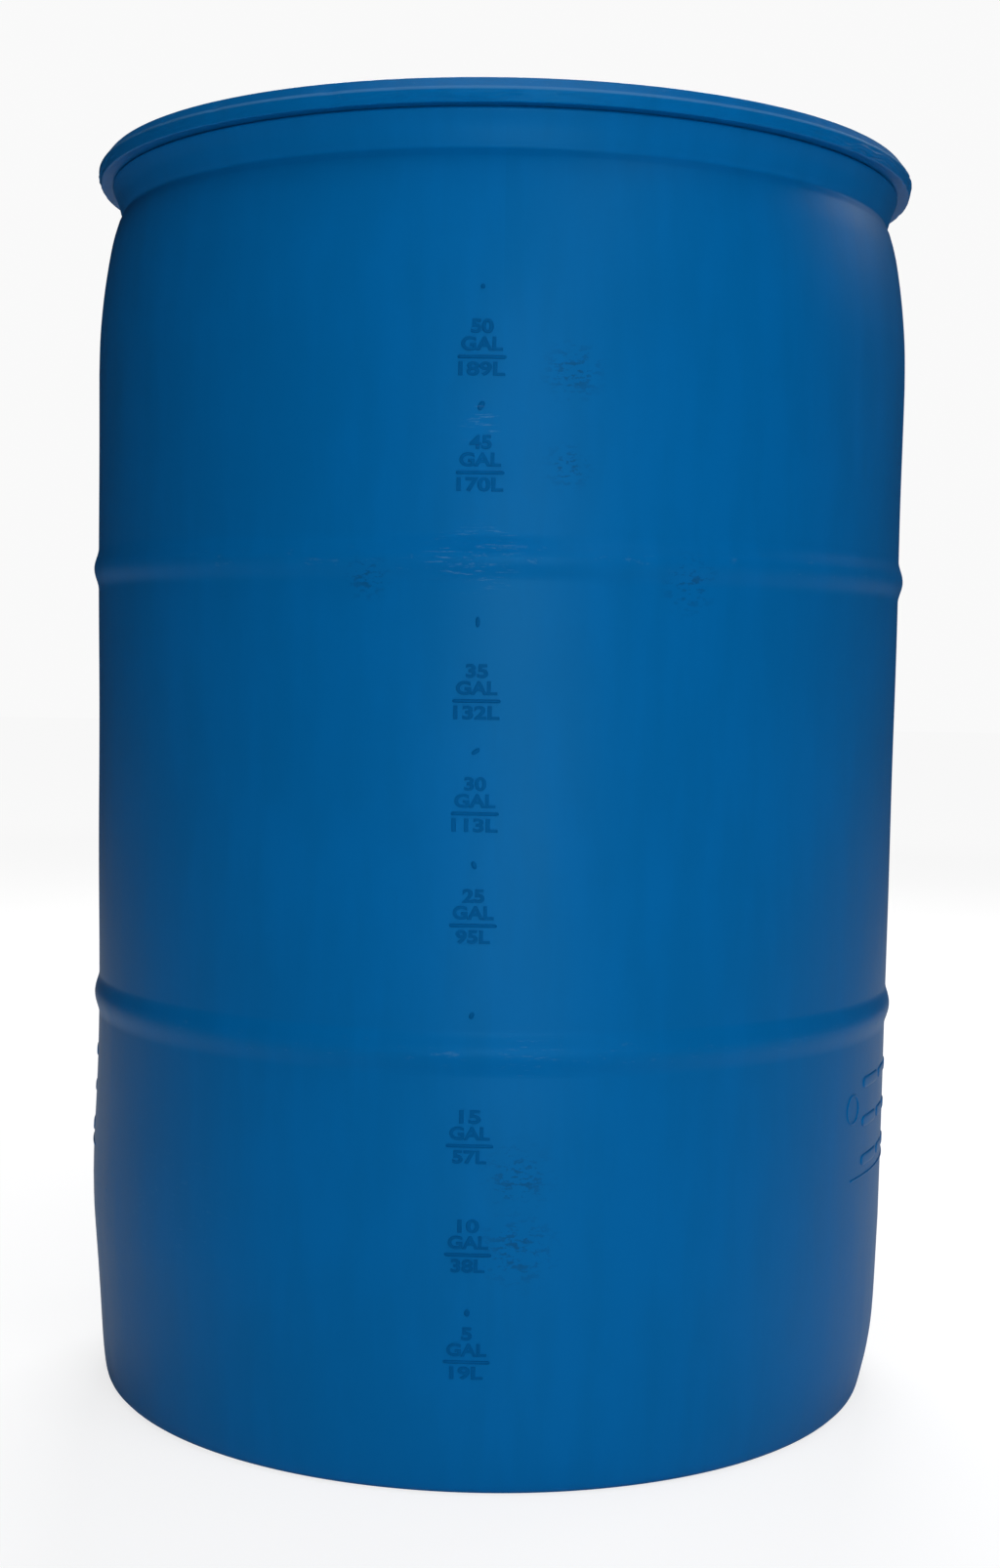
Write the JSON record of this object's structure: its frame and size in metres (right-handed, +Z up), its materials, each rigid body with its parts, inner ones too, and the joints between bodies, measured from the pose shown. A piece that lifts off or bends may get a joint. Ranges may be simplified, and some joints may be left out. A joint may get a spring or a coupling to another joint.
{
  "type": "tight-head drum",
  "caption": "Upright plastic drum with two rolling hoops, a handling ring round a recessed head, and screw bungs with gaskets in threaded necks.",
  "frame": {"origin": "on the drum's axis, in the plane that it stands on", "axes": "+Z up along the drum's axis, -Y out of the graduated side, both bungs on the X axis, the fine-thread one on the -X side"},
  "size_m": [0.599, 0.599, 0.889],
  "materials": {
    "body": "semi-matte moulded polyethylene",
    "fitting": "moulded polyethylene",
    "plug": "injection-moulded polyethylene",
    "reducer": "injection-moulded polyethylene",
    "gasket": "matte"
  },
  "bodies": {
    "drum": {"drum_body": "body", "fitting_fine": "fitting", "fitting_coarse": "fitting"},
    "fine_washer": {"gasket_fine": "gasket"},
    "fine_plug": {"plug_fine": "plug"},
    "coarse_washer": {"gasket_coarse": "gasket"},
    "coarse_plug": {"plug_coarse": "plug"},
    "reducer_washer": {"gasket_reducer": "gasket"},
    "reducer": {"reducer_plug": "reducer"}
  },
  "joints": [
    {"name": "fine_lift", "type": "slide", "parent": "drum", "child": "fine_washer", "axis": [0, 0, 1], "range_m": [0, 0.01105]},
    {"name": "fine_turn", "type": "hinge", "parent": "fine_washer", "child": "fine_plug", "pos_m": [-0.21, 0, 0.876], "axis": [0, 0, 1], "range_deg": [0, 1800]},
    {"name": "coarse_lift", "type": "slide", "parent": "drum", "child": "coarse_washer", "axis": [0, 0, 1], "range_m": [0, 0.01271]},
    {"name": "coarse_turn", "type": "hinge", "parent": "coarse_washer", "child": "coarse_plug", "pos_m": [0.21, 0, 0.876], "axis": [0, 0, 1], "range_deg": [0, 900]},
    {"name": "reducer_lift", "type": "slide", "parent": "fine_plug", "child": "reducer_washer", "axis": [0, 0, 1], "range_m": [0, 0.00908]},
    {"name": "reducer_turn", "type": "hinge", "parent": "reducer_washer", "child": "reducer", "pos_m": [-0.21, 0, 0.881], "axis": [0, 0, 1], "range_deg": [0, 1800]}
  ],
  "couplings": [
    {"joint": "fine_lift", "follows": "fine_turn", "m_per_rad": 0.00035153},
    {"joint": "coarse_lift", "follows": "coarse_turn", "m_per_rad": 0.00080851},
    {"joint": "reducer_lift", "follows": "reducer_turn", "m_per_rad": 0.00028875}
  ]
}
